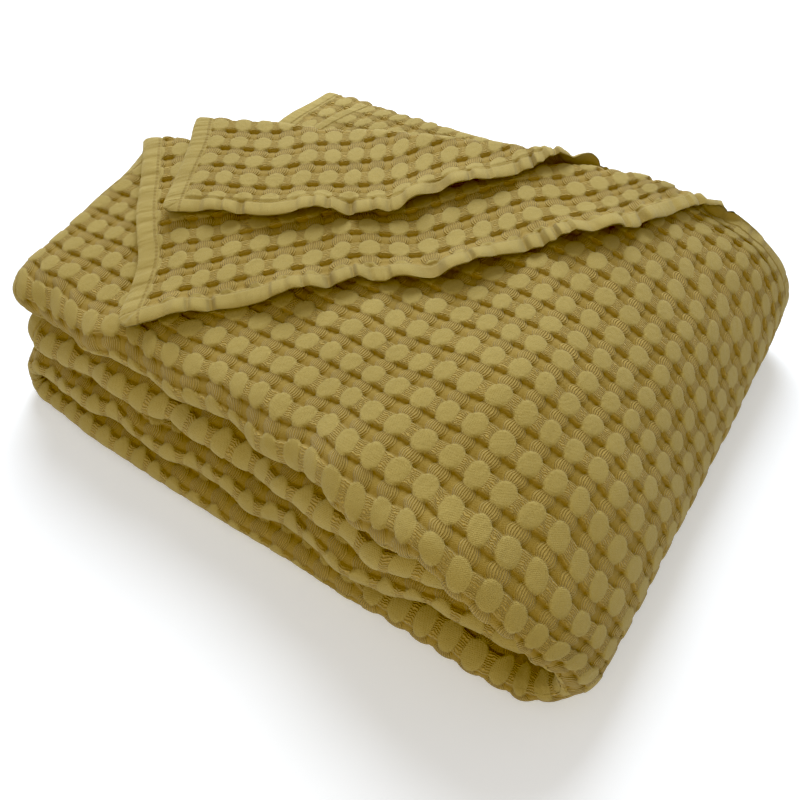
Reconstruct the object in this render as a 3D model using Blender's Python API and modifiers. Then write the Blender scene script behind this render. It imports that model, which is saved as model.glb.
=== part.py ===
"""Waffle weave cotton blanket, folded for a shelf.

The blanket is one sheet of cloth with its hems turned in the cloth itself. It is folded in half twice
across its width, which makes a long strip of four layers, and that strip is folded in half twice along
its length. At one corner of the stack the top two layers are turned back over the top like two pages.

The sheet is modelled flat, in (u, v), and each of its points is then carried to its folded place:
u runs along the strip from the free end on top of the stack, v runs across the strip from its outer hem.
"""

import math

import bmesh
import bpy
from mathutils import Vector

# Cloth and stack, in metres.
CLOTH = 0.0024  # thickness of the woven cloth, with its raised cells
LAYER = 0.0054  # from one layer of cloth to the next in the stack
HALF_TURN = 0.5 * LAYER  # radius of the sharpest fold, between two neighbouring layers
STRIP = 4 * LAYER  # thickness of the four-layer strip

# Outline of the stack seen from above: x along the long folded side, y towards the back.
NEAR_FOLD_Y = -0.146  # where the two folds along the near side start to turn
NEAR_NOSE = 0.016  # how far the outer one stands out from there
SMALL_NOSE = 0.0027  # the same for the folds between neighbouring layers
SKEW = (-0.060, -0.040)  # the stack drifts this much in x with y, and with y squared
SKEW_FROM_Y = -0.160

# Edges of the strip's layers: y at points along the strip. The hems bulge as the cloth lies unevenly.
EDGES = {
    # edge: (s, y) from the free end to the first wrap
    "near": ((0.0, NEAR_FOLD_Y),),
    "far": ((-0.150, 0.109), (0.019, 0.129), (0.130, 0.138)),
    "outer hem": (
        (-0.22, 0.137), (-0.10, 0.154), (-0.05, 0.173), (0.01, 0.167),
        (0.05, 0.170), (0.13, 0.149), (0.18, 0.157),
    ),
    "inner hem": ((-0.19, 0.111), (-0.12, 0.136), (-0.07, 0.149), (-0.02, 0.138), (0.05, 0.121)),
}

# The strip's way through the stack, in x and z. The inner wrap turns a little short of the outer one.
WRAP_X = 0.157
INNER_WRAP_X = 0.152
WRAP_R = 1.5 * STRIP  # radius of the outer wrap, at the strip's middle
TURN_R = 0.5 * STRIP  # radius of the inner wrap and of the low turn
SQUARENESS = 2.5  # of the wraps: 2 is round
LOW_TURN_X = -0.176  # centre of the turn between the lowest two runs
INNER_END_X = (-0.184, -0.170)  # free end inside the stack, at the near side and at the far side
INNER_END_Y = (-0.146, 0.109)
DROOP_X = -0.183  # the top run's outer layer hangs down past here
DROOP_R = 0.014
DROOP_Y = (-0.060, -0.015)  # and not past here, where the corners are turned back

# Heights of the strip's middle in its four runs, lowest run first.
RUN_Z = tuple(STRIP * (0.5 + run) for run in range(4))

# Runs across the strip, from the outer hem to the inner hem: offset from the strip's middle in layers,
# edges where the run starts and ends, x of the free end there, and the number of cells.
# A turn starts and ends at the same edge.
ACROSS = (
    # name, offset, edge_from, edge_to, end_from, end_to, cells
    ("outer layer", 1.5, "outer hem", "near", -0.216, -0.206, 10),
    ("outer near fold", 1.5, "near", "near", -0.206, -0.177, 6),
    ("lower layer", -1.5, "near", "far", -0.177, -0.121, 4),
    ("far fold", -1.5, "far", "far", -0.121, -0.119, 5),
    ("third layer", -0.5, "far", "near", -0.119, -0.165, 4),
    ("inner near fold", -0.5, "near", "near", -0.165, -0.165, 5),
    ("second layer", 0.5, "near", "inner hem", -0.165, -0.192, 8),
)

# Free ends of the layers whose corners turn back: how far they run out or draw back, along their width.
END_SWEEP = {
    # row of ACROSS: (share from the hem, x)
    0: ((0.0, -0.012), (0.22, 0.003), (0.60, 0.012), (1.0, 0.0)),
    6: ((0.0, -0.010), (0.30, 0.002), (0.55, 0.008), (1.0, 0.0)),
}

# Corners turned back over the top: the layer, two points of the crease seen from above, its radius in
# layers, how far the flap reaches for each metre turned and how high its hem stands up in waves.
FLAPS = (
    # row of ACROSS, crease_from, crease_to, radius, reach, hem_lift
    (0, (-0.211, -0.028), (0.130, 0.151), 0.5, 1.05, 0.0035),
    (6, (-0.184, 0.011), (0.046, 0.117), 1.5, 1.02, 0.0030),
)
CREASE_CUTS = 6  # strips of faces round a crease
CREASE_RUN_ON = 0.025  # a crease is cut this far into the wrap
LIFT_WIDTH = 0.030  # a flap's hem stands up over this width
LIFT_WAVE = 0.085  # length of the waves along it

# How high the stack stands, against the plain sum of its layers.
CROWN_LOW = 0.965  # at the near side
CROWN_BACK = 0.32  # more, at the back of the middle
CROWN_TOP_Y = 0.035
CROWN_BACK_Y = 0.165
CROWN_BACK_FALL = 0.12  # less again, at the far side
CROWN_WRAP = 0.11  # more, before the wrap at the near side
CROWN_CORNER = 0.12  # more, where the corners are turned back
CROWN_CREASE = 0.07  # and more along the crease, between the two flaps and the wrap
FALL_X = 0.098  # the wrap is pressed down past here
FALL_WIDTH = 0.100
FALL = ((-0.16, 0.52), (0.04, 0.58), (0.156, 0.36))  # how much, along y
FALL_POWER = 1.75
SAG = 0.007  # the middle of the stack sags by this much at its free ends
SAG_X = (-0.190, -0.130)

# How far the near side stands out or draws back, low and high in the stack, along x.
LEAN = (
    # x, low, high
    (-0.205, 0.000, 0.012),
    (-0.170, -0.008, 0.006),
    (-0.120, -0.012, 0.005),
    (-0.075, -0.012, 0.008),
    (-0.020, -0.011, 0.009),
    (0.030, -0.008, 0.004),
    (0.066, -0.007, -0.004),
    (0.100, -0.005, -0.009),
    (0.140, -0.004, -0.008),
    (0.165, -0.002, -0.003),
    (0.210, 0.018, 0.014),
)
LEAN_Y = -0.04  # from here to the near side


def smooth(low, high, value):
    """0 below low, 1 above high, and an S curve between."""
    t = min(1.0, max(0.0, (value - low) / (high - low)))
    return t * t * (3 - 2 * t)


def blend(a, b, t):
    return a + (b - a) * t


def lookup(table, key, column=1):
    """Value of a table's column at a key of its first column, easing from row to row."""
    for low, high in zip(table, table[1:]):
        if key < high[0]:
            return blend(low[column], high[column], smooth(low[0], high[0], key))
    return table[-1][column]


def skew(y):
    """Drift of the stack in x at this y."""
    back = y - SKEW_FROM_Y
    return SKEW[0] * back + SKEW[1] * back * back


# ---- along the strip ----------------------------------------------------------------------------


# Stretches of the strip's middle after the top run: name, length, number of cells.
ALONG = (
    ("outer wrap", math.pi * WRAP_R, 14),
    ("lowest run", WRAP_X - LOW_TURN_X, 5),
    ("low turn", math.pi * TURN_R, 6),
    ("second run", INNER_WRAP_X - LOW_TURN_X, 5),
    ("inner wrap", math.pi * TURN_R, 7),
    ("third run", INNER_WRAP_X - INNER_END_X[0], 5),
)
TOP_RUN_CELLS = 18
TOP_RUN = WRAP_X - ACROSS[0][4]  # cloth in the top run, from the outer layer's free end


def top_point(s, y, h):
    """Top run, level but for its outer layer's hanging end; s is x."""
    droop = 1 - smooth(*DROOP_Y, y)
    if s >= DROOP_X or droop < 0.01:
        return s, RUN_Z[3] + h
    bend = DROOP_R / droop
    angle = min(math.pi / 2, (DROOP_X - s) / bend)
    hanging = DROOP_X - s - bend * angle
    radius = bend - 1.5 * LAYER + h
    height = RUN_Z[3] + h - radius * (1 - math.cos(angle)) - hanging
    return DROOP_X - radius * math.sin(angle), height


def wrap_point(x, angle, radius):
    """Place on a wrap round this x, at an angle from its top, a little squarer than round."""
    sine, cosine = math.sin(angle), math.cos(angle)
    power = 2 / SQUARENESS
    height = math.copysign(abs(cosine) ** power, cosine)
    return x + radius * abs(sine) ** power, 2 * STRIP + radius * height


def strip_point(s, y, h):
    """Place (x, z) of the point at s along the strip's middle and h off it, to its outer side."""
    if s <= WRAP_X:
        return top_point(s, y, h)
    s -= WRAP_X
    for name, length, _ in ALONG:
        if s <= length or name == "third run":
            break
        s -= length
    if name == "outer wrap":
        return wrap_point(WRAP_X, s / WRAP_R, WRAP_R + h)
    if name == "lowest run":
        return WRAP_X - s, RUN_Z[0] - h
    if name == "low turn":
        angle = s / TURN_R
        radius = TURN_R + h
        return LOW_TURN_X - radius * math.sin(angle), STRIP - radius * math.cos(angle)
    if name == "second run":
        return LOW_TURN_X + s, RUN_Z[1] + h
    if name == "inner wrap":
        return wrap_point(INNER_WRAP_X, math.pi - s / TURN_R, TURN_R - h)
    end = blend(*INNER_END_X, smooth(*INNER_END_Y, y))
    return INNER_WRAP_X - s * (INNER_WRAP_X - end) / (INNER_WRAP_X - INNER_END_X[0]), RUN_Z[2] - h


# ---- across the strip ---------------------------------------------------------------------------


def widths():
    """Length of cloth in each row of ACROSS."""
    result = []
    for _, offset, edge_from, edge_to, _, _, _ in ACROSS:
        start, stop = (lookup(EDGES[edge], 0.0) for edge in (edge_from, edge_to))
        turn = math.pi * turn_radius(offset, edge_from)
        result.append(turn if edge_from == edge_to else abs(stop - start))
    return result


def turn_radius(offset, edge):
    """The outer near fold is as wide as the strip, and the other folds join neighbouring layers."""
    return 1.5 * LAYER if (offset > 0 and edge == "near") else HALF_TURN


WIDTHS = widths()


def locate(v):
    """Row of ACROSS that holds v, and the share of the row's width passed."""
    for row, width in enumerate(WIDTHS):
        if v <= width + 1e-7 or row == len(WIDTHS) - 1:
            return row, min(1.0, max(0.0, v / width))
        v -= width


def free_end(row, share):
    """Where a layer's free end lies along the strip."""
    _, _, _, _, end_from, end_to, _ = ACROSS[row]
    end = blend(end_from, end_to, share)
    if row in END_SWEEP:
        end += lookup(END_SWEEP[row], share if row == 0 else 1 - share)
    return end


def strip_section(u, v):
    """Distance along the strip, y and offset from the strip's middle of a point of the flat sheet."""
    row, share = locate(v)
    _, offset, edge_from, edge_to, _, _, _ = ACROSS[row]
    end = free_end(row, share)
    s = blend(end, WRAP_X, u / TOP_RUN) if u < TOP_RUN else WRAP_X + u - TOP_RUN
    start, stop = (lookup(EDGES[edge], s) for edge in (edge_from, edge_to))
    if edge_from != edge_to:
        return row, s, blend(start, stop, share), offset * LAYER
    radius = turn_radius(offset, edge_from)
    nose = NEAR_NOSE if radius > HALF_TURN else SMALL_NOSE
    outward = 1 if edge_from == "far" else -1
    middle = offset * LAYER - math.copysign(radius, offset)
    rise = math.copysign(radius, offset) * math.cos(math.pi * share)
    return row, s, start + outward * nose * math.sin(math.pi * share), middle + rise


# ---- corners turned back ------------------------------------------------------------------------


def turn_back(flap, s, y, h):
    """A point past the crease rolls round it, lands on the layers above and lies towards the near side."""
    row, crease_from, crease_to, radius, reach, hem_lift = flap
    radius *= LAYER
    x = s + skew(y)
    start = Vector(crease_from)
    along = (Vector(crease_to) - start).normalized()
    across = Vector((-along.y, along.x))
    start -= across * (0.5 * math.pi * radius)
    offset = Vector((x, y)) - start
    past = offset.dot(across)
    if past <= 0:
        return s, y, h
    down = offset.dot(along)
    if past < math.pi * radius:
        angle = past / radius
        place = start + along * down + across * (radius * math.sin(angle))
        h += radius * (1 - math.cos(angle))
    else:
        lying = past - math.pi * radius
        place = start + along * down - across * (reach * lying)
        to_hem = lookup(EDGES["outer hem" if row == 0 else "inner hem"], s) - y
        lift = hem_lift * (1 - smooth(0, LIFT_WIDTH, to_hem)) * smooth(0, LIFT_WIDTH, lying)
        h += 2 * radius + lift * (0.5 - 0.5 * math.cos(2 * math.pi * s / LIFT_WAVE))
    return place.x - skew(place.y), place.y, h


# ---- the whole stack ----------------------------------------------------------------------------


def crown(x, y):
    """The stack is lowest along its near side, at its free end and at the wrap."""
    back = math.sin(math.pi / 2 * min(1.0, max(0.0, (y - SKEW_FROM_Y) / (CROWN_TOP_Y - SKEW_FROM_Y))))
    height = CROWN_LOW + CROWN_BACK * back - CROWN_BACK_FALL * smooth(CROWN_TOP_Y, CROWN_BACK_Y, y)
    height += CROWN_WRAP * smooth(-0.04, 0.085, x) * (1 - smooth(-0.09, 0.0, y))
    height += CROWN_CORNER * smooth(0.03, 0.10, y) * (1 - smooth(-0.10, 0.10, x))
    height += CROWN_CREASE * smooth(0.05, 0.12, y) * smooth(-0.05, 0.05, x) * (1 - smooth(0.07, 0.15, x))
    return height * (1 - lookup(FALL, y) * max(0.0, (x - FALL_X) / FALL_WIDTH) ** FALL_POWER)


def lean(x, y, z):
    """How far the near side moves in y at this height."""
    share = 1 - smooth(-0.16, LEAN_Y, y)
    return share * blend(lookup(LEAN, x, 1), lookup(LEAN, x, 2), min(1.0, z / RUN_Z[3]))


def folded(u, v):
    """Place of a point of the flat sheet in the folded stack."""
    row, s, y, h = strip_section(u, v)
    for flap in FLAPS:
        if flap[0] == row and s < WRAP_X + WRAP_R:
            s, y, h = turn_back(flap, s, y, h)
    x, z = strip_point(s, y, h)
    y += lean(x, y, z)
    level = min(1.0, max(0.0, (z - HALF_TURN) / (RUN_Z[3] - HALF_TURN)))
    sag = SAG * (1 - smooth(*SAG_X, x)) * math.sin(math.pi * level)
    z = CLOTH / 2 + (z - HALF_TURN) * crown(x, y) - sag
    return Vector((x + skew(y), y, z))


def stations(lengths, cells):
    """Positions that divide each length into its number of equal cells."""
    result = [0.0]
    for length, count in zip(lengths, cells):
        start = result[-1]
        result += [start + length * (i + 1) / count for i in range(count)]
    return result


def flat_sheet():
    """The flat sheet as a grid in (u, v), with its lines where the folds turn."""
    along = stations([TOP_RUN] + [row[1] for row in ALONG], [TOP_RUN_CELLS] + [row[2] for row in ALONG])
    across = stations(WIDTHS, [row[6] for row in ACROSS])
    mesh = bmesh.new()
    columns, rows = len(along) - 1, len(across) - 1
    bmesh.ops.create_grid(mesh, x_segments=columns, y_segments=rows, size=0.5)
    for vertex in mesh.verts:
        column = round((vertex.co.x + 0.5) * columns)
        row = round((vertex.co.y + 0.5) * rows)
        vertex.co = (along[column], across[row], 0)
    return mesh


def plan_to_flat(row, x, y):
    """Point of the flat sheet that lies at (x, y), seen from above, before its corner is turned back."""
    _, _, edge_from, edge_to, _, _, _ = ACROSS[row]
    s = x - skew(y)
    y_from, y_to = (lookup(EDGES[edge], s) for edge in (edge_from, edge_to))
    share = (y - y_from) / (y_to - y_from)
    end = free_end(row, share)
    u = TOP_RUN * (s - end) / (WRAP_X - end) if s < WRAP_X else TOP_RUN + s - WRAP_X
    return Vector((u, sum(WIDTHS[:row]) + WIDTHS[row] * share, 0))


def cut_creases(mesh):
    """Lines along each crease, cut into the sheet only where that layer turns back."""
    for row, crease_from, crease_to, radius, _, _ in FLAPS:
        v_low, v_high = sum(WIDTHS[:row]), sum(WIDTHS[: row + 1])
        faces = [f for f in mesh.faces if v_low < f.calc_center_median().y < v_high]
        faces = [f for f in faces if f.calc_center_median().x < TOP_RUN + CREASE_RUN_ON]
        flat = {vertex: vertex.co.copy() for face in faces for vertex in face.verts}
        for vertex in flat:
            _, s, y, _ = strip_section(vertex.co.x, vertex.co.y)
            vertex.co = (s + skew(y), y, 0)
        start, stop = Vector(crease_from), Vector(crease_to)
        along = (stop - start).normalized()
        across = Vector((-along.y, along.x))
        geometry = {*faces, *flat, *(edge for face in faces for edge in face.edges)}
        for cut in range(CREASE_CUTS + 1):
            place = start + across * (math.pi * radius * LAYER * (cut / CREASE_CUTS - 0.5))
            result = bmesh.ops.bisect_plane(
                mesh, geom=list(geometry), dist=5e-4, plane_co=place.to_3d(), plane_no=across.to_3d()
            )
            geometry = {*result["geom"]}
        for vertex in {e for e in geometry if isinstance(e, bmesh.types.BMVert)}:
            if vertex.is_valid:
                vertex.co = flat[vertex] if vertex in flat else plan_to_flat(row, vertex.co.x, vertex.co.y)


def cotton():
    """Washed cotton in ochre."""
    material = bpy.data.materials.new("ochre_cotton")
    material.use_nodes = True
    shader = material.node_tree.nodes["Principled BSDF"]
    shader.inputs["Base Color"].default_value = (0.42, 0.33, 0.10, 1)
    shader.inputs["Roughness"].default_value = 0.9
    shader.inputs["Metallic"].default_value = 0.0
    return material


def blanket(collection):
    """The folded sheet, thickened to its cloth and set over the middle of its own outline."""
    bm = flat_sheet()
    cut_creases(bm)
    for vertex in bm.verts:
        vertex.co = folded(vertex.co.x, vertex.co.y)
    bmesh.ops.triangulate(bm, faces=[f for f in bm.faces if len(f.verts) > 4])
    mesh = bpy.data.meshes.new("blanket")
    bm.to_mesh(mesh)
    bm.free()
    obj = bpy.data.objects.new("blanket", mesh)
    collection.objects.link(obj)
    obj.data.materials.append(cotton())
    thickness = obj.modifiers.new("cloth", "SOLIDIFY")
    thickness.thickness = CLOTH
    thickness.offset = 0
    box = obj.evaluated_get(bpy.context.evaluated_depsgraph_get()).bound_box
    middle = [(min(corner[i] for corner in box) + max(corner[i] for corner in box)) / 2 for i in (0, 1)]
    for vertex in mesh.vertices:
        vertex.co -= Vector((*middle, 0))
    return obj


def main():
    for obj in list(bpy.data.objects):
        bpy.data.objects.remove(obj)
    collection = bpy.data.collections.new("waffle_weave_blanket")
    bpy.context.scene.collection.children.link(collection)
    blanket(collection)


main()
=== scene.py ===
"""Looks of the folded waffle weave blanket: its woven cloth, hems, setting, light and camera.

The cloth is the same flat sheet as the CAD's, folded the same way, with its woven cells raised from it.
Lengths are in metres and angles in radians unless a name says otherwise.
"""

from __future__ import annotations

import logging
import math
from dataclasses import dataclass, field
from enum import Enum
from typing import Any, Sequence

import bpy
import numpy as np
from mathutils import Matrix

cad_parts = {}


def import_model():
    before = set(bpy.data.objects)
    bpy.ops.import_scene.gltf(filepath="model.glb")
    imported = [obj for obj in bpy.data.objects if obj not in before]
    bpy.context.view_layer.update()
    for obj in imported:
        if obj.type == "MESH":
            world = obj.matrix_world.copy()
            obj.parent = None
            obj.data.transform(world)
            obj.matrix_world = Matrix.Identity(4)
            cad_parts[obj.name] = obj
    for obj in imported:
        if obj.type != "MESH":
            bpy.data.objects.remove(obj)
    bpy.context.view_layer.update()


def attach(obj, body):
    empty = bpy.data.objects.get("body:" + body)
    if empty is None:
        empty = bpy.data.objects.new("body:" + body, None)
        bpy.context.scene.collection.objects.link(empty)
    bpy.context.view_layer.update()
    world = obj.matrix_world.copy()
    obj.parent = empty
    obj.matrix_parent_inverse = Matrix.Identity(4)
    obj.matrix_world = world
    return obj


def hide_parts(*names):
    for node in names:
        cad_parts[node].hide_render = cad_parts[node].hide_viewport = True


LOG = logging.getLogger("blanket")

Array = np.ndarray
Table = Sequence[Sequence[float]]
TURN = 2 * math.pi
SAME = 1e-9  # lengths no further apart are the same
SCATTER = (12.9898, 78.233, 43758.5453)  # large and odd enough that neighbours have nothing in common
EASED = {"interpolation_type": "SMOOTHSTEP"}  # makes a Map Range node's step an S curve
RISING, FALLING = (0.0, 1.0), (1.0, 0.0)  # ends of such a step


def smooth(low: Any, high: Any, value: Any) -> Array:
    """0 below low, 1 above high, and an S curve between."""
    t = np.clip((value - low) / (high - low), 0.0, 1.0)
    return t * t * (3.0 - 2.0 * t)


def blend(a: Any, b: Any, t: Any) -> Any:
    """Straight blend from a to b."""
    return a + (b - a) * t


def lookup(table: Table, key: Array, column: int = 1) -> Array:
    """Value of a table's column at keys of its first column, easing from row to row.

    Args:
        table: Rows that start with their key, in rising order.
        key: Keys to look up.
        column: Column to read.

    Returns:
        One value for each key.
    """
    result = np.full(np.shape(key), float(table[-1][column]))
    for low, high in reversed(list(zip(table, table[1:]))):
        eased = blend(low[column], high[column], smooth(low[0], high[0], key))
        result = np.where(key < high[0], eased, result)
    return result


def chance(i: Array, j: Array) -> Array:
    """A number from 0 to 1 for each cell, as if by chance but the same at each run."""
    return np.modf(np.abs(np.sin(i * SCATTER[0] + j * SCATTER[1]) * SCATTER[2]))[0]


def unit(vectors: Array) -> Array:
    """The vectors at length 1, or 0 where they have none."""
    length = np.linalg.norm(vectors, axis=-1, keepdims=True)
    return vectors / np.where(length > 0, length, 1.0)


def one_more(lines: Array) -> Array:
    """The lines, with one more beyond each end."""
    return np.concatenate([[2 * lines[0] - lines[1]], lines, [2 * lines[-1] - lines[-2]]])


@dataclass(frozen=True)
class Wave:
    """A sine wave over one or two coordinates."""

    height: float
    length: float  # of one wave, along the first coordinate
    other: float = math.inf  # and along the second
    phase: float = 0.0

    def at(self, one: Array, two: Any = 0.0) -> Array:
        """Its value at these coordinates."""
        return self.height * np.sin(TURN * (one / self.length + two / self.other) + self.phase)


def total(waves: Sequence[Wave], one: Array, two: Any = 0.0) -> Array:
    """Sum of the waves at these coordinates."""
    return sum(wave.at(one, two) for wave in waves)


class Layer(Enum):
    """Runs of the cloth across the strip, from the outer hem to the inner hem."""

    OUTER = 0
    OUTER_NEAR_FOLD = 1
    LOWER = 2
    FAR_FOLD = 3
    THIRD = 4
    INNER_NEAR_FOLD = 5
    SECOND = 6


@dataclass(frozen=True)
class Run:
    """One run across the strip: its layer, edges and free end."""

    offset: float  # from the strip's middle, in layers
    edge_from: str
    edge_to: str
    end_from: float
    end_to: float


@dataclass(frozen=True)
class Flap:
    """A corner turned back over the top."""

    layer: Layer
    crease_from: tuple[float, float]
    crease_to: tuple[float, float]
    radius: float  # in layers
    reach: float  # along the flap, for each metre turned
    hem_lift: float
    sweep: Table  # how far the free end runs out or draws back: share from the hem, x


@dataclass
class Folding:
    """Carries points of the flat sheet to their folded places.

    The sheet is flat in (u, v): u along the strip from its free end on top, v across it from the outer hem.
    """

    cloth: float = 0.0024  # thickness
    layer: float = 0.0054  # height of a layer with the air on it
    near_nose: float = 0.016  # the outer near fold stands out this far
    small_nose: float = 0.0027  # the same for the folds between neighbouring layers
    skew: tuple[float, float] = (-0.060, -0.040)  # drift of the stack in x with y, and with y squared
    skew_from_y: float = -0.160
    wrap_x: float = 0.157  # centre of the outer wrap
    inner_wrap_x: float = 0.152
    squareness: float = 2.5  # of the wraps: 2 is round
    low_turn_x: float = -0.176  # centre of the turn between the lowest two runs
    inner_end_x: tuple[float, float] = (-0.184, -0.170)  # free end inside the stack, near and far
    inner_end_y: tuple[float, float] = (-0.146, 0.109)
    droop_x: float = -0.183  # the top run's outer layer hangs down past here
    droop_r: float = 0.014  # radius of its bend
    droop_y: tuple[float, float] = (-0.060, -0.015)  # and not past here, where the corners are turned back
    droop_least: float = 0.01
    outer_end_x: float = -0.216  # the top run's outer layer ends here
    crown_low: float = 0.965  # height of the stack at the near side, as a share of its layers' sum
    crown_back: float = 0.32  # more, at the back of the middle
    crown_top_y: float = 0.035
    crown_back_y: float = 0.165
    crown_back_fall: float = 0.12  # less again, at the far side
    crown_wrap: float = 0.11  # more, before the wrap at the near side
    crown_wrap_x: tuple[float, float] = (-0.04, 0.085)
    crown_wrap_y: tuple[float, float] = (-0.09, 0.0)
    crown_corner: float = 0.12  # more, where the corners are turned back
    crown_corner_y: tuple[float, float] = (0.03, 0.10)
    crown_corner_x: tuple[float, float] = (-0.10, 0.10)
    crown_crease: float = 0.07  # and more along the crease, between the two flaps and the wrap
    crown_crease_y: tuple[float, float] = (0.05, 0.12)
    crown_crease_rise: tuple[float, float] = (-0.05, 0.05)
    crown_crease_fall: tuple[float, float] = (0.07, 0.15)
    sag: float = 0.007  # the middle of the stack sags by this much at its free ends
    sag_x: tuple[float, float] = (-0.190, -0.130)
    fall_x: float = 0.098  # the wrap is pressed down past here
    fall_width: float = 0.100  # in full by this much further on
    fall_power: float = 1.75
    fall: Table = ((-0.16, 0.52), (0.04, 0.58), (0.156, 0.36))  # how much, along y
    lean_y: tuple[float, float] = (-0.16, -0.04)  # the near side leans out to here
    lift_width: float = 0.030  # a flap's hem stands up over this width
    lift_wave: float = 0.085  # length of the waves along it
    centre: tuple[float, float] = (-0.011005, -0.007793)  # of the outline, which comes to the origin
    edges: dict[str, Table] = field(
        default_factory=lambda: {
            # edge: (s, y) along the strip
            "near": ((0.0, -0.146), (1.0, -0.146)),
            "far": ((-0.150, 0.109), (0.019, 0.129), (0.130, 0.138)),
            "outer hem": (
                (-0.22, 0.137),
                (-0.10, 0.154),
                (-0.05, 0.173),
                (0.01, 0.167),
                (0.05, 0.170),
                (0.13, 0.149),
                (0.18, 0.157),
            ),
            "inner hem": ((-0.19, 0.111), (-0.12, 0.136), (-0.07, 0.149), (-0.02, 0.138), (0.05, 0.121)),
        }
    )
    runs: tuple[Run, ...] = (
        # offset, edge_from, edge_to, end_from, end_to
        Run(1.5, "outer hem", "near", -0.216, -0.206),
        Run(1.5, "near", "near", -0.206, -0.177),
        Run(-1.5, "near", "far", -0.177, -0.121),
        Run(-1.5, "far", "far", -0.121, -0.119),
        Run(-0.5, "far", "near", -0.119, -0.165),
        Run(-0.5, "near", "near", -0.165, -0.165),
        Run(0.5, "near", "inner hem", -0.165, -0.192),
    )
    flaps: tuple[Flap, ...] = (
        Flap(
            layer=Layer.OUTER,
            crease_from=(-0.211, -0.028),
            crease_to=(0.130, 0.151),
            radius=0.5,
            reach=1.05,
            hem_lift=0.0035,
            sweep=((0.0, -0.012), (0.22, 0.003), (0.60, 0.012), (1.0, 0.0)),
        ),
        Flap(
            layer=Layer.SECOND,
            crease_from=(-0.184, 0.011),
            crease_to=(0.046, 0.117),
            radius=1.5,
            reach=1.02,
            hem_lift=0.0030,
            sweep=((0.0, -0.010), (0.30, 0.002), (0.55, 0.008), (1.0, 0.0)),
        ),
    )
    lean: Table = (
        # x, and how far the near side's foot and its top lie from the plain fold there, in y
        (-0.205, 0.000, 0.012),
        (-0.170, -0.008, 0.006),
        (-0.120, -0.012, 0.005),
        (-0.075, -0.012, 0.008),
        (-0.020, -0.011, 0.009),
        (0.030, -0.008, 0.004),
        (0.066, -0.007, -0.004),
        (0.100, -0.005, -0.009),
        (0.140, -0.004, -0.008),
        (0.165, -0.002, -0.003),
        (0.210, 0.018, 0.014),
    )

    def __post_init__(self) -> None:
        """Works out the strip's radii, the lengths of its runs and where its rows start."""
        self.strip = 4 * self.layer
        self.half_turn = 0.5 * self.layer
        self.top_z = 3.5 * self.strip  # middle of the top run, the fourth
        self.wrap_r = 1.5 * self.strip
        self.turn_r = 0.5 * self.strip
        self.top_run = self.wrap_x - self.outer_end_x
        self.lengths = (
            math.pi * self.wrap_r,
            self.wrap_x - self.low_turn_x,
            math.pi * self.turn_r,
            self.inner_wrap_x - self.low_turn_x,
            math.pi * self.turn_r,
            self.inner_wrap_x - self.inner_end_x[0],
        )
        self.length = self.top_run + sum(self.lengths)
        zero = np.zeros(1)
        widths = []
        for run in self.runs:
            if run.edge_from == run.edge_to:
                widths.append(math.pi * self.turn_radius(run))
            else:
                start, stop = (lookup(self.edges[e], zero)[0] for e in (run.edge_from, run.edge_to))
                widths.append(abs(stop - start))
        self.row_start = np.concatenate([[0.0], np.cumsum(widths)])
        self.width = float(self.row_start[-1])

    def turn_radius(self, run: Run) -> float:
        """The outer near fold is as wide as the strip, and the other folds join neighbouring layers."""
        return 1.5 * self.layer if (run.offset > 0 and run.edge_from == "near") else self.half_turn

    def drift(self, y: Array) -> Array:
        """Drift of the stack in x at this y."""
        back = y - self.skew_from_y
        return self.skew[0] * back + self.skew[1] * back * back

    def top_point(self, s: Array, y: Array, h: Array) -> tuple[Array, Array]:
        """Place on the top run, level but for its outer layer's hanging end.

        Args:
            s: Along the strip's middle.
            y: Across it.
            h: Off it, to its outer side.

        Returns:
            Its x and z.
        """
        z = self.top_z + h
        droop = np.maximum(1 - smooth(*self.droop_y, y), 1e-3)
        bend = self.droop_r / droop
        over = np.maximum(self.droop_x - s, 0.0)
        angle = np.minimum(math.pi / 2, over / bend)
        hanging = over - bend * angle
        radius = bend - 1.5 * self.layer + h
        hang_x = self.droop_x - radius * np.sin(angle)
        hang_z = z - radius * (1 - np.cos(angle)) - hanging
        droops = (s < self.droop_x) & (droop > self.droop_least)
        return np.where(droops, hang_x, s), np.where(droops, hang_z, z)

    def wrap_point(self, x: float, angle: Array, radius: Array) -> tuple[Array, Array]:
        """Place on a wrap, a little squarer than round.

        Args:
            x: Centre of the wrap.
            angle: From its top.
            radius: Of the place.

        Returns:
            Its x and z.
        """
        sine, cosine = np.sin(angle), np.cos(angle)
        power = 2 / self.squareness
        height = np.sign(cosine) * np.abs(cosine) ** power
        return x + radius * np.abs(sine) ** power, 2 * self.strip + radius * height

    def strip_point(self, s: Array, y: Array, h: Array) -> tuple[Array, Array]:
        """Place on the strip's way through the stack.

        Args:
            s: Along the strip's middle.
            y: Across it.
            h: Off it, to its outer side.

        Returns:
            Its x and z.
        """
        x, z = self.top_point(s, y, h)
        start = self.wrap_x
        wrap, lowest, low_turn, second, inner_wrap, third = self.lengths
        strip = self.strip

        def put(mask: Array, place: tuple[Array, Array]) -> None:
            """Sets the places of the masked points."""
            x[mask] = place[0][mask]
            z[mask] = place[1][mask]

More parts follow.
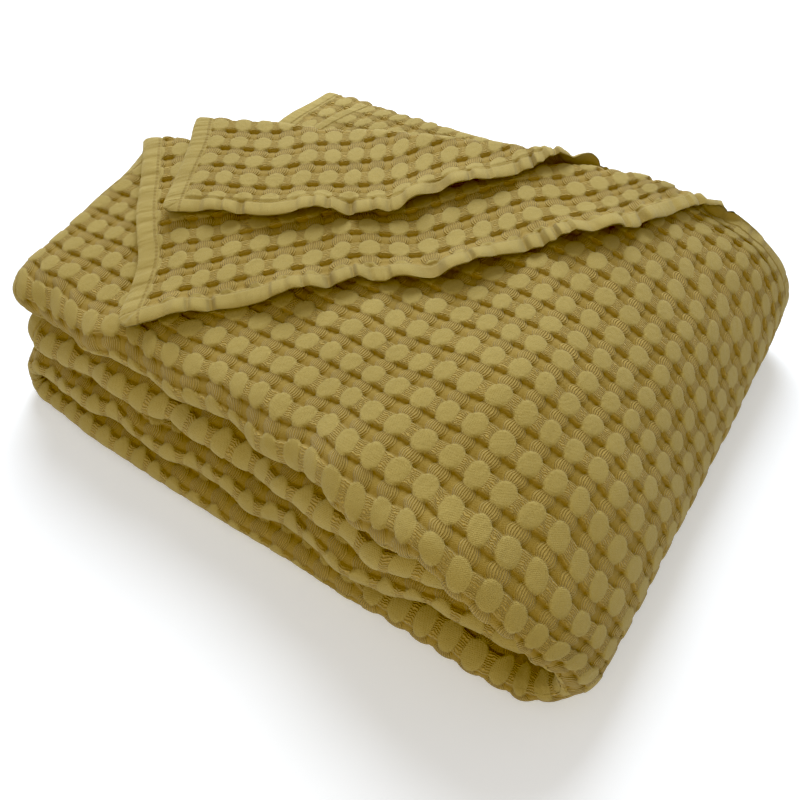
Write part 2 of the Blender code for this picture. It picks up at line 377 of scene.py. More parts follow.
        t = s - start
        put(t > 0, self.wrap_point(self.wrap_x, np.clip(t / self.wrap_r, 0, math.pi), self.wrap_r + h))
        t = t - wrap
        put(t > 0, (self.wrap_x - t, 0.5 * strip - h))
        t = t - lowest
        angle = t / self.turn_r
        radius = self.turn_r + h
        put(t > 0, (self.low_turn_x - radius * np.sin(angle), strip - radius * np.cos(angle)))
        t = t - low_turn
        put(t > 0, (self.low_turn_x + t, 1.5 * strip + h))
        t = t - second
        angle = np.clip(math.pi - t / self.turn_r, 0, math.pi)
        put(t > 0, self.wrap_point(self.inner_wrap_x, angle, self.turn_r - h))
        t = t - inner_wrap
        end = blend(*self.inner_end_x, smooth(*self.inner_end_y, y))
        stretch = (self.inner_wrap_x - end) / third
        put(t > 0, (self.inner_wrap_x - t * stretch, 2.5 * strip - h))
        return x, z

    def turn_back(self, flap: Flap, s: Array, y: Array, h: Array) -> tuple[Array, Array, Array]:
        """Rolls points past a crease round it, to lie back towards the near side.

        Args:
            flap: The turned corner.
            s: Along the strip's middle.
            y: Across it.
            h: Off it, to its outer side.

        Returns:
            The points' new s, y and h.
        """
        radius = flap.radius * self.layer
        start = np.array(flap.crease_from)
        along = np.array(flap.crease_to) - start
        along = along / np.linalg.norm(along)
        across = np.array((-along[1], along[0]))
        start = start - across * (0.5 * math.pi * radius)
        x = s + self.drift(y)
        past = (x - start[0]) * across[0] + (y - start[1]) * across[1]
        down = (x - start[0]) * along[0] + (y - start[1]) * along[1]
        angle = np.clip(past / radius, 0, math.pi)
        lying = np.maximum(past - math.pi * radius, 0.0)
        reach = radius * np.sin(angle) - flap.reach * lying
        place_x = start[0] + along[0] * down + across[0] * reach
        place_y = start[1] + along[1] * down + across[1] * reach
        hem = self.edges["outer hem" if flap.layer is Layer.OUTER else "inner hem"]
        to_hem = lookup(hem, s) - y
        lift = flap.hem_lift * (1 - smooth(0, self.lift_width, to_hem)) * smooth(0, self.lift_width, lying)
        rise = radius * (1 - np.cos(angle)) + lift * (0.5 - 0.5 * np.cos(TURN * s / self.lift_wave))
        turned = past > 0
        return (
            np.where(turned, place_x - self.drift(place_y), s),
            np.where(turned, place_y, y),
            np.where(turned, h + rise, h),
        )

    def crown(self, x: Array, y: Array) -> Array:
        """Height against the plain sum of the layers: lowest at the near side, free end and wrap.

        Args:
            x: Along the long folded side.
            y: Towards the back.

        Returns:
            The height's share.
        """
        share = (y - self.skew_from_y) / (self.crown_top_y - self.skew_from_y)
        height = self.crown_low + self.crown_back * np.sin(math.pi / 2 * np.clip(share, 0, 1))
        height = height - self.crown_back_fall * smooth(self.crown_top_y, self.crown_back_y, y)
        wrap = self.crown_wrap * smooth(*self.crown_wrap_x, x) * (1 - smooth(*self.crown_wrap_y, y))
        corner = self.crown_corner * smooth(*self.crown_corner_y, y) * (1 - smooth(*self.crown_corner_x, x))
        crest = smooth(*self.crown_crease_y, y) * smooth(*self.crown_crease_rise, x)
        crest = crest * (1 - smooth(*self.crown_crease_fall, x))
        height = height + wrap + corner + self.crown_crease * crest
        past = np.maximum(0.0, (x - self.fall_x) / self.fall_width)
        return height * (1 - lookup(self.fall, y) * past**self.fall_power)

    def place(self, u: Array, v: Array) -> Array:
        """Folded places of points of the flat sheet.

        Args:
            u: Along the strip, from the outer layer's free end.
            v: Across the strip, from the outer hem.

        Returns:
            Points, with their three coordinates last.
        """
        row = np.clip(np.searchsorted(self.row_start, v, side="right") - 1, 0, len(self.runs) - 1)
        share = (v - self.row_start[row]) / (self.row_start[row + 1] - self.row_start[row])
        ends = np.array([(run.end_from, run.end_to) for run in self.runs])
        end = blend(ends[row, 0], ends[row, 1], share)
        for flap in self.flaps:
            from_hem = share if flap.layer is Layer.OUTER else 1 - share
            end = np.where(row == flap.layer.value, end + lookup(flap.sweep, from_hem), end)
        on_top = blend(end, self.wrap_x, u / self.top_run)
        s = np.where(u < self.top_run, on_top, self.wrap_x + u - self.top_run)
        edges = {name: lookup(table, s) for name, table in self.edges.items()}
        y = np.zeros_like(s)
        h = np.zeros_like(s)
        for index, run in enumerate(self.runs):
            here = row == index
            if not here.any():
                continue
            start, stop = edges[run.edge_from], edges[run.edge_to]
            if run.edge_from != run.edge_to:
                y = np.where(here, blend(start, stop, share), y)
                h = np.where(here, run.offset * self.layer, h)
                continue
            radius = self.turn_radius(run)
            nose = self.near_nose if radius > self.half_turn else self.small_nose
            outward = 1 if run.edge_from == "far" else -1
            signed = math.copysign(radius, run.offset)
            level = run.offset * self.layer - signed + signed * np.cos(math.pi * share)
            y = np.where(here, start + outward * nose * np.sin(math.pi * share), y)
            h = np.where(here, level, h)
        for flap in self.flaps:
            turned = self.turn_back(flap, s, y, h)
            here = (row == flap.layer.value) & (s < self.wrap_x + self.wrap_r)
            s, y, h = (np.where(here, new, old) for new, old in zip(turned, (s, y, h)))
        x, z = self.strip_point(s, y, h)
        near = 1 - smooth(*self.lean_y, y)
        low, high = lookup(self.lean, x, 1), lookup(self.lean, x, 2)
        y = y + near * blend(low, high, np.minimum(1.0, z / self.top_z))
        level = np.clip((z - self.half_turn) / (self.top_z - self.half_turn), 0, 1)
        sag = self.sag * (1 - smooth(*self.sag_x, x)) * np.sin(math.pi * level)
        z = self.cloth / 2 + (z - self.half_turn) * self.crown(x, y) - sag
        return np.stack((x + self.drift(y) - self.centre[0], y - self.centre[1], z), axis=-1)


@dataclass(frozen=True)
class Pull:
    """A place where the cloth lies pulled out of line."""

    cell: tuple[float, float]
    reach: tuple[float, float]  # in cells
    by: tuple[float, float]

    def share(self, i: Array, j: Array) -> Array:
        """Share of the pull that reaches these cells."""
        far_u, far_v = (i - self.cell[0]) / self.reach[0], (j - self.cell[1]) / self.reach[1]
        return np.exp(-(far_u**2 + far_v**2))


@dataclass(frozen=True)
class Weave:
    """Waffle weave: rows of raised discs, joined by floating yarns, with sunken pockets between.

    Heights are shares of the relief, and sizes within a cell are shares of its pitch.
    """

    pitch_u: float = 0.01507
    pitch_v: float = 0.02059
    origin_u: float = 0.16847  # cloth lengths of one disc
    origin_v: float = 0.30584
    base: float = 0.0009  # half of the cloth's plain thickness
    relief: float = 0.0017  # a disc stands this far proud
    disc: tuple[float, float] = (0.355, 0.345)  # half sizes
    disc_power: float = 2.5  # of its outline: 2 is round
    disc_edge: tuple[float, float] = (0.93, 1.12)  # falls off from here to here, in half sizes
    disc_top: float = 0.90
    disc_vary: float = 0.16  # the most that one disc is higher than another
    disc_dome: float = 0.10
    float_u_height: float = 0.84  # ridge of strands to the next disc along u
    float_u_half: float = 0.26
    float_u_edge: tuple[float, float] = (0.86, 1.12)
    float_u_sag: float = 0.10
    float_v_height: float = 0.66  # barrel of strands to the next disc along v
    float_v_half: tuple[float, float] = (0.18, 0.40)  # at a disc, and midway
    float_v_from: float = 0.22  # it spreads from here to midway
    pocket: float = -0.68
    puff: float = 0.60  # the middle of a pocket swells by this much
    puff_reach: float = 0.17
    askew: float = -0.00099  # each row lies this much askew of the one before
    askew_rows: tuple[int, int] = (16, 44)  # up to the first of these, and straight again by the second
    askew_from: float = 0.15  # in full from here, off the side hems
    free_from: tuple[float, float] = (0.012, 0.040)  # rows are straight along a hem, and free past here
    wander_u: tuple[Wave, ...] = (  # over cells
        Wave(0.05, TURN / 0.9, TURN / 0.6),
        Wave(0.04, -TURN / 1.3, TURN / 2.1),
    )
    wander_v: tuple[Wave, ...] = (
        Wave(0.05, -TURN / 0.7, TURN / 0.8, 1.0),
        Wave(0.03, TURN / 1.9, TURN / 0.4),
    )
    pulls: tuple[Pull, ...] = (  # by folding and handling, mostly near the turned corners and the wrap
        Pull((5.5, -5.8), (3.2, 2.4), (0.0, 0.010)),
        Pull((5.0, -2.5), (3.5, 1.6), (0.004, 0.003)),
        Pull((8.5, 1.0), (3.0, 2.0), (-0.0035, -0.0055)),
        Pull((15.5, 0.8), (2.2, 1.8), (0.0, 0.009)),
        Pull((15.5, -7.5), (2.0, 3.0), (-0.001, 0.007)),
        Pull((12.5, -12.0), (4.0, 2.2), (-0.007, -0.018)),
    )

    def cells(self, a: Array, b: Array) -> tuple[Array, Array]:
        """Places in cells of these lengths of cloth; discs are at whole numbers."""
        return (a - self.origin_u) / self.pitch_u, (b - self.origin_v) / self.pitch_v

    def swell(self, y: Array) -> Array:
        """How far a barrel of strands has spread, from 0 beside a disc to 1 midway."""
        share = (y - self.float_v_from) / (0.5 - self.float_v_from)
        return np.sin(0.5 * math.pi * np.clip(share, 0.0, 1.0))

    def cell(self, across: Array, along: Array) -> Array:
        """Height of one face, from -1 to 1.

        Args:
            across: Place along u, in cells.
            along: Place along v, in cells.

        Returns:
            The heights.
        """
        i, j = np.round(across), np.round(along)
        x, y = np.abs(across - i), np.abs(along - j)
        power = self.disc_power
        radius = ((x / self.disc[0]) ** power + (y / self.disc[1]) ** power) ** (1 / power)
        disc = 1 - smooth(*self.disc_edge, radius)
        top = self.disc_top + self.disc_vary * chance(i, j) - self.disc_dome * radius * radius
        half_v = blend(self.float_v_half[0], self.float_v_half[1], self.swell(y))
        barrel = np.sqrt(np.clip(1 - (x / half_v) ** 2, 0, 1))
        ridge = 1 - smooth(*self.float_u_edge, y / self.float_u_half)
        ridge_top = self.float_u_height - self.float_u_sag * np.sin(TURN * x)
        far = np.hypot((0.5 - x) / self.puff_reach, (0.5 - y) / self.puff_reach)
        floor = self.pocket + self.puff * np.exp(-far * far)
        height = np.maximum(floor, blend(floor, self.float_v_height, barrel))
        height = np.maximum(height, blend(floor, ridge_top, ridge))
        return np.maximum(height, blend(self.pocket, top, disc))


@dataclass(frozen=True)
class Hem:
    """Hem turned twice, whose stitching pinches it at short steps and lets it stand up between."""

    width: float = 0.0125
    puff: float = 0.0007  # its roll is this much thicker than the plain cloth
    puff_from: float = 0.10  # share of the roll's arc that is missing at its edge
    puff_power: float = 0.4  # the lower, the flatter
    weave_from: tuple[float, float] = (-0.0004, 0.0020)  # the weave starts here, past its width
    edge_share: float = 0.35  # thickness at its very edge
    edge_round: tuple[float, float] = (-0.0004, 0.0022)
    lines: tuple[float, ...] = (0.0, 0.0008, 0.0025, 0.0055, 0.009)  # of the grid, from its edge
    seam_lines: tuple[float, ...] = (-0.0012, 0.0, 0.0012, 0.0025)  # of the grid, from its width
    clear: float = 0.003  # the weave's grid lines stay this far off it
    corner: float = 0.011  # a corner of the panel is rounded from here
    corner_cut: float = 0.0036
    spacing: float = 0.0135  # from pinch to pinch
    sharpness: int = 12
    drift: tuple[Wave, ...] = (Wave(1.7, 0.113), Wave(0.9, 0.047, phase=1.0))  # of the pinches, in radians
    depth: float = 0.68
    depth_wave: Wave = Wave(0.32, 0.057, phase=2.0)
    end_share: float = 0.35  # the end hems are pinched less
    draw: float = 0.0028  # a pinch draws the hem's edge in
    loose: tuple[float, float] = (0.001, 0.024)  # a loose hem stands up from here, off its edge
    loose_from: tuple[float, float] = (0.006, 0.030)  # and along it from here
    loose_until: tuple[float, float] = (0.34, 0.40)  # to here
    lift: float = 0.0014
    lift_wave: float = 0.0019
    pucker: float = 0.036  # length of a pucker
    pucker_drift: Wave = Wave(2.0, 0.13)
    pucker_lean: float = 0.80
    pucker_pinch: float = 1.5

    def rim(self) -> Array:
        """Lines that a grid has beside an edge of the panel."""
        return np.array([*self.lines, *(self.width + line for line in self.seam_lines)])

    def pinches(self, a: Array) -> tuple[Array, Array]:
        """Pull of the hem's stitching.

        Args:
            a: Length along the hem.

        Returns:
            How deep it is pinched, from 0 to 1, and how its panels between two pinches lean, from -1 to 1.
        """
        phase = a / self.spacing + total(self.drift, a) / math.pi
        pinch = np.abs(np.cos(math.pi * phase)) ** self.sharpness
        depth = self.depth + self.depth_wave.at(a)
        return pinch * depth, (1 - 2 * np.mod(phase, 1.0)) * (1 - pinch) * depth

    def puckers(self, a: Array) -> Array:
        """How far a loose side hem stands up.

        Args:
            a: Length along it, from the free end.

        Returns:
            Its height off the cloth.
        """
        pinch, lean = self.pinches(a)
        wave = np.sin(TURN * a / self.pucker + self.pucker_drift.at(a))
        wave = wave + self.pucker_lean * lean - self.pucker_pinch * pinch
        loose = (1 - smooth(*self.loose_until, a)) * smooth(*self.loose_from, a)
        return loose * (self.lift + self.lift_wave * wave)


@dataclass(frozen=True)
class Unevenness:
    """Soft unevenness of the whole stack, which moves touching layers together."""

    in_x: tuple[Wave, ...] = (Wave(0.0010, 0.071, 0.060, 0.7),)  # over y and z
    in_y: tuple[Wave, ...] = (Wave(0.0016, 0.067, 0.055, 0.4), Wave(0.0007, 0.031, -0.040))  # over x and z
    in_z: tuple[Wave, ...] = (Wave(0.0015, 0.078, -0.130, 2.1), Wave(0.0006, 0.041, 0.060))  # over x and y
    free_z: tuple[float, float] = (0.004, 0.030)  # the floor holds what is lower
    side_y: tuple[float, float] = (-0.150, -0.110)
    behind: float = 0.30  # share of it behind the near side
    tuck: float = 0.013  # the inner wrap's near end is tucked in by this much
    tuck_from: tuple[float, float] = (1.09, 1.16)  # along u
    tuck_to: tuple[float, float] = (1.21, 1.28)
    tuck_y: tuple[float, float] = (-0.150, -0.085)
    tuck_x: tuple[float, float] = (0.07, 0.12)

    def settle(self, points: Array, u: Array) -> Array:
        """Moves the cloth by it.

        Args:
            points: Places on the cloth.
            u: Where they are along the flat sheet.

        Returns:
            The places, moved.
        """
        x, y, z = points[..., 0], points[..., 1], points[..., 2]
        free = smooth(*self.free_z, z) * blend(self.behind, 1.0, 1 - smooth(*self.side_y, y))
        inner_wrap = smooth(*self.tuck_from, u) * (1 - smooth(*self.tuck_to, u))
        tuck = self.tuck * inner_wrap * (1 - smooth(*self.tuck_y, y)) * smooth(*self.tuck_x, x)
        dx, dy, dz = total(self.in_x, y, z), total(self.in_y, x, z), total(self.in_z, x, y)
        return points + np.stack((dx * free, dy * free + tuck, dz * free), axis=-1)


def mirrored(*places: float) -> tuple[float, ...]:
    """Places in a cell, and their mirror images past its middle."""
    return (0.0, *places, 0.50, *(round(1 - place, 4) for place in reversed(places)))


FINE_U = mirrored(0.11, 0.21, 0.29, 0.335, 0.38, 0.43)
FINE_V = mirrored(0.11, 0.205, 0.245, 0.285, 0.33, 0.38, 0.435)
MIDDLE_U = mirrored(0.21, 0.32, 0.39)
MIDDLE_V = mirrored(0.205, 0.285, 0.38)
ROUGH = (0.0, 0.30, 0.50, 0.70)
COARSE = (0.0, 0.5)


class Grain(Enum):
    """Where a face's grid has its lines in each cell, along u and along v."""

    FINE = (FINE_U, FINE_V)
    MIDDLE = (MIDDLE_U, MIDDLE_V)
    ROUGH = (ROUGH, ROUGH)
    COARSE = (COARSE, COARSE)


@dataclass(frozen=True)
class Patch:
    """One piece of the sheet: its part, in lengths of cloth, and the grain of its two faces."""

    name: str
    u: tuple[float, float]
    v: tuple[float, float]
    front: Grain
    back: Grain


@dataclass
class Cloth:
    """The panel in its folded place, which its pieces are built from.

    Lengths of cloth (a, b) are measured along u and v on the outer layer.
    """

    folding: Folding
    weave: Weave
    hem: Hem
    unevenness: Unevenness
    back_shift: float = 0.5  # the back has its discs where the front has its pockets, in cells
    gauge_u: float = 0.20  # b is measured along this line
    gauge_v: float = 0.26  # and a along this one
    gauge_steps: int = 4001
    probe: float = 4e-4  # reach of the points that give the cloth's slope
    least_gap: float = 3e-4  # between a piece's side and its next grid line
    corner_piece: tuple[float, float] = (0.33, 0.17)  # the piece with the turned corner ends here
    fold_reach: float = 0.04  # pieces with a fold reach this far past it
    near_fold_reach: tuple[float, float] = (0.02, 0.01)  # before and past the outer near fold

    def __post_init__(self) -> None:
        """Measures the cloth."""
        self.u_line, self.u_length = self.measured(along=True)
        self.v_line, self.v_length = self.measured(along=False)
        self.total_u, self.total_v = float(self.u_length[-1]), float(self.v_length[-1])

    def measured(self, along: bool) -> tuple[Array, Array]:
        """Length of cloth along one line of the outer layer.

        Args:
            along: Whether the line runs along u.

        Returns:
            Places along the flat sheet, and the length of cloth up to each.
        """
        line = np.linspace(0, self.folding.length if along else self.folding.width, self.gauge_steps)
        other = np.full_like(line, self.gauge_u if along else self.gauge_v)
        points = self.folding.place(line, other) if along else self.folding.place(other, line)
        steps = np.linalg.norm(np.diff(points, axis=0), axis=1)
        return line, np.concatenate([[0.0], np.cumsum(steps)])

    def length_at(self, place: float, along: bool) -> float:
        """Length of cloth at a place of the flat sheet."""
        line, length = (self.u_line, self.u_length) if along else (self.v_line, self.v_length)
        return float(np.interp(place, line, length))

    def patches(self) -> tuple[Patch, ...]:
        """Cuts the sheet into pieces that meet edge to edge.

        Returns:
            The pieces, finer where they show.
        """
        folding, past, (corner_a, corner_b) = self.folding, self.fold_reach, self.corner_piece
        end_a, end_b = self.total_u, self.total_v
        turn = self.length_at(folding.top_run, True)
        wrap = self.length_at(folding.top_run + folding.lengths[0], True)
        _, near_fold, lower, far_fold, third, inner_fold, second = (
            self.length_at(float(folding.row_start[layer.value]), False) for layer in Layer
        )
        low, near = near_fold - self.near_fold_reach[0], lower + self.near_fold_reach[1]
        fine, middle, rough, coarse = Grain.FINE, Grain.MIDDLE, Grain.ROUGH, Grain.COARSE
        return (
            Patch("turned_corner", (0.0, corner_a), (0.0, corner_b), fine, fine),
            Patch("top_layer", (0.0, corner_a), (corner_b, lower), fine, coarse),
            Patch("wrap_layer", (corner_a, wrap), (0.0, lower), fine, coarse),
            Patch("near_folds", (wrap, end_a), (low, near), fine, coarse),
            Patch("second_flap", (0.0, turn), (second, end_b), fine, middle),
            Patch("top_far_fold", (0.0, turn), (lower, second), middle, coarse),
            Patch("wrap_inside", (turn, wrap), (lower, near), coarse, coarse),
            Patch("inner_runs", (turn, end_a), (near, far_fold - past), coarse, coarse),
            Patch("far_folds", (turn, end_a), (far_fold - past, third + past), middle, coarse),
            Patch("third_runs", (turn, end_a), (third + past, inner_fold - past), coarse, coarse),
            Patch("inner_near_folds", (turn, end_a), (inner_fold - past, second + past), middle, coarse),
            Patch("second_runs", (turn, end_a), (second + past, end_b), coarse, coarse),
            Patch("lower_runs", (wrap, end_a), (0.0, low), rough, coarse),
        )

    def stations(self, low: float, high: float, along: bool, phases: Sequence[float]) -> Array:
        """Lengths of cloth at which a grid has its lines.

        Args:
            low: First of them.
            high: Last of them.
            along: Whether they run along u.
            phases: Places of the lines in each cell.

        Returns:
            The lengths, in rising order.
        """
        weave, clear = self.weave, self.hem.width + self.hem.clear
        pitch, origin = (weave.pitch_u, weave.origin_u) if along else (weave.pitch_v, weave.origin_v)
        end = self.total_u if along else self.total_v
        cells = np.arange(math.floor((low - origin) / pitch) - 1, math.ceil((high - origin) / pitch) + 1)
        lines = (origin + pitch * (cells[:, None] + np.array(phases)[None, :])).ravel()
        lines = lines[(lines > clear) & (lines < end - clear)]
        lines = np.unique(np.concatenate([lines, self.hem.rim(), end - self.hem.rim()]))
        lines = lines[(lines > low + self.least_gap) & (lines < high - self.least_gap)]
        return np.concatenate([[low], lines, [high]])

    def edge(self, a: Array, b: Array) -> Array:
        """Distance to the nearest hem's edge."""
        return np.minimum(np.minimum(a, self.total_u - a), np.minimum(b, self.total_v - b))

    def drawn(self, a: Array, b: Array) -> tuple[Array, Array]:
        """Where the rows of cells really run: a little askew and uneven, but straight along the hems.

        Args:
            a: Lengths of cloth along u, as woven.
            b: The same along v.

        Returns:
            The lengths at which the cloth lies there.
        """
        weave, hem, other = self.weave, self.hem, self.total_v - b
        i, j = weave.cells(a, b)
        held = smooth(0.0, weave.askew_from, b) * smooth(0.0, weave.askew_from, other)
        first, last = weave.askew_rows
        askew = weave.askew * np.where(i < first, i, first * (1 - smooth(first, last, i)))
        free = smooth(*weave.free_from, self.edge(a, b))
        cut = hem.corner_cut * np.clip(1 - a / hem.corner, 0, 1) ** 2
        outer, inner = (cut * np.clip(1 - side / hem.corner, 0, 1) ** 2 for side in (b, other))
        pinch = hem.draw * hem.pinches(a)[0]
        outer_pinch, inner_pinch = (pinch * (1 - smooth(0.0, hem.width, side)) for side in (b, other))
        real_a = a + outer + inner + free * total(weave.wander_u, i, j) * weave.pitch_u
        real_b = b + outer - inner + outer_pinch - inner_pinch
        real_b = real_b + askew * held + free * total(weave.wander_v, i, j) * weave.pitch_v
        for pull in weave.pulls:
            share = free * pull.share(i, j)
            real_a, real_b = real_a + share * pull.by[0], real_b + share * pull.by[1]
        return real_a, real_b

    def ripple(self, a: Array, b: Array) -> Array:
        """How far the loose side hems of the turned corners stand up off the front."""
        outer, inner = (1 - smooth(*self.hem.loose, side) for side in (b, self.total_v - b))
        return (inner - outer) * self.hem.puckers(a)

    def lie(self, u: Array, v: Array) -> Array:
        """Folded and settled place of points of the flat sheet, which are held within it."""
        u, v = np.clip(u, 0.0, self.folding.length), np.clip(v, 0.0, self.folding.width)
        return self.unevenness.settle(self.folding.place(u, v), u)

    def face(self, a: Array, b: Array, front: bool) -> dict[str, Array]:
        """One face of the cloth.

        Args:
            a: Lengths of cloth of its grid's lines along u.
            b: The same along v.
            front: Whether it is the front.

        Returns:
            For each point of the grid its place, its place in cells, and its distances to an end hem
            and a side hem with the depth of the pinch there.
        """
        weave, hem = self.weave, self.hem
        grid_a, grid_b = np.meshgrid(a, b, indexing="ij")
        real_a, real_b = self.drawn(grid_a, grid_b)
        u = np.interp(real_a, self.u_length, self.u_line)
        v = np.interp(real_b, self.v_length, self.v_line)
        slope_u = self.lie(u + self.probe, v) - self.lie(u - self.probe, v)
        slope_v = self.lie(u, v + self.probe) - self.lie(u, v - self.probe)
        edge, to_side = self.edge(grid_a, grid_b), np.minimum(grid_b, self.total_v - grid_b)
        on_side = to_side <= edge + SAME
        pinch = hem.pinches(np.where(on_side, grid_a, grid_b))[0] * np.where(on_side, 1.0, hem.end_share)
        plain = 1 - smooth(*(hem.width + offset for offset in hem.weave_from), edge)
        across = blend(hem.puff_from, 1.0, np.clip(edge / hem.width, 0.0, 1.0))
        puff = hem.puff * plain * np.sin(math.pi * across).clip(0, 1) ** hem.puff_power * (1 - pinch)
        cells = [place + (0.0 if front else self.back_shift) for place in weave.cells(grid_a, grid_b)]
        thick = weave.base + puff + weave.relief * weave.cell(*cells) * (1 - plain)
        thick = thick * blend(hem.edge_share, 1.0, smooth(*hem.edge_round, edge))
        offset = (thick if front else -thick) + self.ripple(grid_a, grid_b)
        points = self.lie(u, v) + offset[..., None] * unit(np.cross(slope_v, slope_u))
        points[..., 2] = np.maximum(points[..., 2], 0.0)
        hems = np.stack((np.minimum(grid_a, self.total_u - grid_a), to_side, pinch), axis=-1)
        return {"points": points, "cells": np.stack(cells, axis=-1), "hems": hems}

    def stitched(self, rims: Sequence[Any]) -> list[list[int]]:
        """Faces that join a piece's front and back all round.

        Args:
            rims: For each face, the vertices and the lengths of cloth along its four sides.

        Returns:
            The faces.
        """
        faces = []
        for (front_side, front_at), (back_side, back_at) in zip(*rims):
            marks = np.searchsorted(front_at, back_at - SAME)
            for k in range(len(back_at) - 1):
                near = front_side[marks[k] : marks[k + 1] + 1]
                faces.append([*near.tolist(), int(back_side[k + 1]), int(back_side[k])])
        return faces

    def woven(self, patch: Patch) -> tuple[dict[str, Array], list[list[int]]]:
        """Front and back of a piece, joined all round.

        Args:
            patch: Which part of the sheet, and how fine.

        Returns:
            What its vertices hold, and its faces.
        """
        data: dict[str, list[Array]] = {"points": [], "cells": [], "hems": [], "normals": []}
        faces: list[list[int]] = []
        rims = []
        start = 0
        inside = (slice(1, -1), slice(1, -1))
        for front, grain in ((True, patch.front), (False, patch.back)):
            shift = 0.0 if front else self.back_shift
            a = self.stations(*patch.u, True, [phase + shift for phase in grain.value[0]])
            b = self.stations(*patch.v, False, [phase + shift for phase in grain.value[1]])
            face = self.face(one_more(a), one_more(b), front)
            slopes = [np.gradient(face["points"], axis=axis) for axis in (1, 0)]
            face["normals"] = unit(np.cross(*slopes) * (1.0 if front else -1.0))
            for name, values in face.items():
                data[name].append(values[inside].reshape(-1, values.shape[-1]))
            index = np.arange(len(a) * len(b)).reshape(len(a), len(b)) + start
            quads = np.stack((index[:-1, :-1], index[:-1, 1:], index[1:, 1:], index[1:, :-1]), axis=-1)
            faces += (quads if front else quads[..., ::-1]).reshape(-1, 4).tolist()
            there, back = ((index[:, 0], a), (index[-1, :], b)), ((index[:, -1], a), (index[0, :], b))
            rims.append((*there, *((side[::-1], -line[::-1]) for side, line in back)))
            start += index.size
        return {name: np.concatenate(values) for name, values in data.items()}, faces + self.stitched(rims)

    def build(self, patch: Patch, material: bpy.types.Material) -> bpy.types.Object:
        """One closed piece of cloth.

        Args:
            patch: Which part of the sheet, and how fine.
            material: Its finish.

        Returns:
            The piece, at the origin.
        """
        data, faces = self.woven(patch)
        mesh = bpy.data.meshes.new(patch.name)
        mesh.from_pydata(data["points"].tolist(), [], faces)
        piece = bpy.data.objects.new(patch.name, mesh)
        bpy.context.scene.collection.objects.link(piece)
        corners = np.empty(len(mesh.loops), dtype=np.int64)
        mesh.loops.foreach_get("vertex_index", corners)
        layer = mesh.uv_layers.new(name="cells")
        layer.data.foreach_set("uv", data["cells"][corners].astype(np.float32).ravel())
        hem = mesh.attributes.new("hems", "FLOAT_VECTOR", "POINT")
        hem.data.foreach_set("vector", data["hems"].astype(np.float32).ravel())
        mesh.shade_smooth()
        mesh.normals_split_custom_set_from_vertices(data["normals"].tolist())
        mesh.materials.append(material)
        return piece


def linear(code: str) -> tuple[float, float, float, float]:
    """Linear colour from its hex sRGB code."""
    parts = [int(code[i : i + 2], 16) / 255 for i in (1, 3, 5)]
    return (*(p / 12.92 if p <= 0.04045 else ((p + 0.055) / 1.055) ** 2.4 for p in parts), 1.0)


class Shader:
    """A material, and what adds nodes to it."""

    def __init__(self, name: str) -> None:
        """Starts from a plain material.

        Args:
            name: Name of the material.
        """
        self.material = bpy.data.materials.new(name)
        self.material.use_nodes = True
        self.tree = self.material.node_tree
        self.principled = self.tree.nodes["Principled BSDF"]

    def add(
        self, kind: str, *inputs: Any, links: dict[Any, Any] | None = None, out: int = 0, **settings: Any
    ) -> bpy.types.NodeSocket:
        """Adds a node.

        Args:
            kind: Type of the node, or in capitals the operation of a Math node.
            *inputs: For each input in turn, a socket that feeds it or the value it holds.
            links: The same for inputs by name or number.
            out: Which output is wanted.
            **settings: Properties of the node.

        Returns:
            The output's socket.
        """
        if kind.isupper():
            kind, settings["operation"] = "Math", kind
        node = self.tree.nodes.new("ShaderNode" + kind)
        for key, value in settings.items():
            setattr(node, key, value)
        for key, value in (dict(enumerate(inputs)) | (links or {})).items():
            if isinstance(value, bpy.types.NodeSocket):
                self.tree.links.new(value, node.inputs[key])
            else:
                node.inputs[key].default_value = value
        return node.outputs[out]


